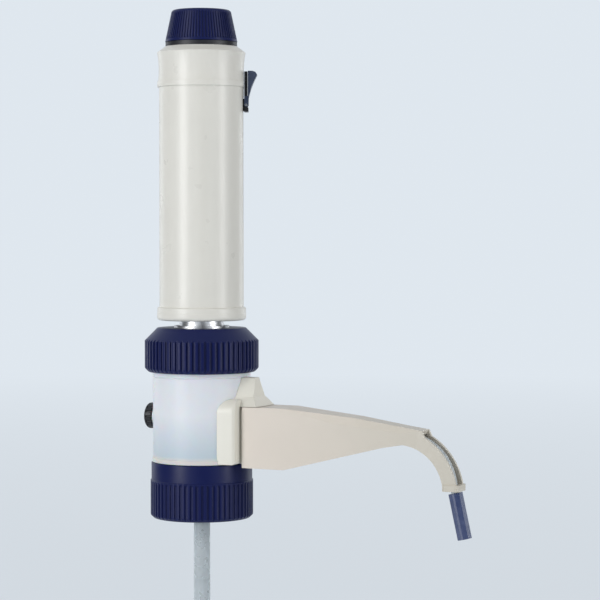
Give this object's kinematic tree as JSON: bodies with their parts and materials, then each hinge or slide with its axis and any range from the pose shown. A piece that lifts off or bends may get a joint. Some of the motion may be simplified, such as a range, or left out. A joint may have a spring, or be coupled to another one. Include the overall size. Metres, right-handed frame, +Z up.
{
  "type": "bottle-top dispenser",
  "caption": "Bottle-top dispenser: screw collar, valve block, sliding plunger sleeve with volume slider and knob, and a long bent spout.",
  "frame": {"origin": "on the bottle neck's axis, at the lower edge of the screw collar", "axes": "+Z up along the bottle neck and the plunger's travel, +X along the spout"},
  "size_m": [0.1793, 0.0588, 0.3862],
  "materials": {
    "navy_plastic": "moulded, satin gloss",
    "ivory_plastic": "moulded, satin gloss",
    "cream_plastic": "moulded, satin gloss",
    "spout_plastic": "moulded, satin gloss",
    "frosted_plastic": "translucent, frosted",
    "white_fluoropolymer": "turned, smooth",
    "clear_fluoropolymer": "translucent tube",
    "polished_tube": "polished",
    "steel": "brushed",
    "clear_glass": "clear, polished",
    "ruby_glass": "polished",
    "black_rubber": "matt",
    "black_plastic": "matt",
    "slate_plastic": "moulded, satin",
    "closure_plastic": "moulded, satin",
    "scale_film": "printed film"
  },
  "bodies": {
    "collar": {"bottle_collar": "navy_plastic"},
    "head": {"neck_flange": "white_fluoropolymer", "rim_gasket": "black_rubber", "flange_screws": "steel", "valve_block": "frosted_plastic", "valve_core": "white_fluoropolymer", "suction_valve_body": "white_fluoropolymer", "suction_ball_cage": "white_fluoropolymer", "filling_tube": "clear_fluoropolymer", "cylinder_seal": "white_fluoropolymer", "glass_cylinder": "clear_glass", "guide_tube": "polished_tube", "vent_gasket": "black_rubber", "discharge_duct": "white_fluoropolymer", "discharge_valve_body": "white_fluoropolymer", "discharge_valve_cap": "white_fluoropolymer", "discharge_tube": "clear_fluoropolymer", "spout_cover": "spout_plastic", "spout_saddle": "cream_plastic", "saddle_screws": "steel"},
    "nut": {"union_nut": "navy_plastic", "guide_bushing": "polished_tube"},
    "plunger": {"plunger_sleeve": "ivory_plastic", "bottom_ring": "ivory_plastic", "guide_bush": "white_fluoropolymer", "top_cap": "ivory_plastic", "friction_ring": "black_plastic", "piston": "white_fluoropolymer", "piston_clamp": "steel", "piston_rod": "steel", "rod_lock_nut": "steel", "scale_strip": "scale_film"},
    "adjuster": {"knob": "navy_plastic", "adjusting_screw": "steel"},
    "slider": {"volume_slider": "black_plastic", "lever_pin": "steel"},
    "lever": {"slider_lever": "slate_plastic"},
    "vent": {"vent_cap": "black_plastic"},
    "closure": {"closure_cap": "closure_plastic"},
    "lower_ball": {"suction_ball": "ruby_glass"},
    "spout_ball": {"discharge_ball": "ruby_glass"},
    "dip_tube": {"telescopic_tube": "clear_fluoropolymer"}
  },
  "joints": [
    {"name": "head_swivel", "type": "hinge", "parent": "collar", "child": "head", "pos_m": [0, 0, 0.0243], "axis": [0, 0, 1], "continuous": true},
    {"name": "nut_turn", "type": "hinge", "parent": "head", "child": "nut", "pos_m": [0, 0, 0.0866], "axis": [0, 0, 1], "continuous": true},
    {"name": "plunger_slide", "type": "slide", "parent": "head", "child": "plunger", "axis": [0, 0, 1], "range_m": [0, 0.057]},
    {"name": "knob_turn", "type": "hinge", "parent": "plunger", "child": "adjuster", "pos_m": [0, 0, 0.2448], "axis": [0, 0, 1], "continuous": true},
    {"name": "volume_slide", "type": "slide", "parent": "plunger", "child": "slider", "axis": [0, 0, 1], "range_m": [-0.057, 0]},
    {"name": "lever_flip", "type": "hinge", "parent": "slider", "child": "lever", "pos_m": [0.02098, 0.00978, 0.2124], "axis": [-0.4226, 0.9063, 0], "range_deg": [0, 60]},
    {"name": "vent_turn", "type": "hinge", "parent": "head", "child": "vent", "pos_m": [-0.026, 0, 0.0515], "axis": [-1, 0, 0], "continuous": true},
    {"name": "closure_pull", "type": "slide", "parent": "head", "child": "closure", "axis": [0.2164, 0, -0.9763], "range_m": [0, 0.03]},
    {"name": "suction_ball_lift", "type": "slide", "parent": "head", "child": "lower_ball", "axis": [0, 0, 1], "range_m": [0, 0.0012]},
    {"name": "discharge_ball_lift", "type": "slide", "parent": "head", "child": "spout_ball", "axis": [0, 0, 1], "range_m": [0, 0.0012]},
    {"name": "tube_extend", "type": "slide", "parent": "head", "child": "dip_tube", "axis": [0, 0, -1], "range_m": [0, 0.1]}
  ]
}
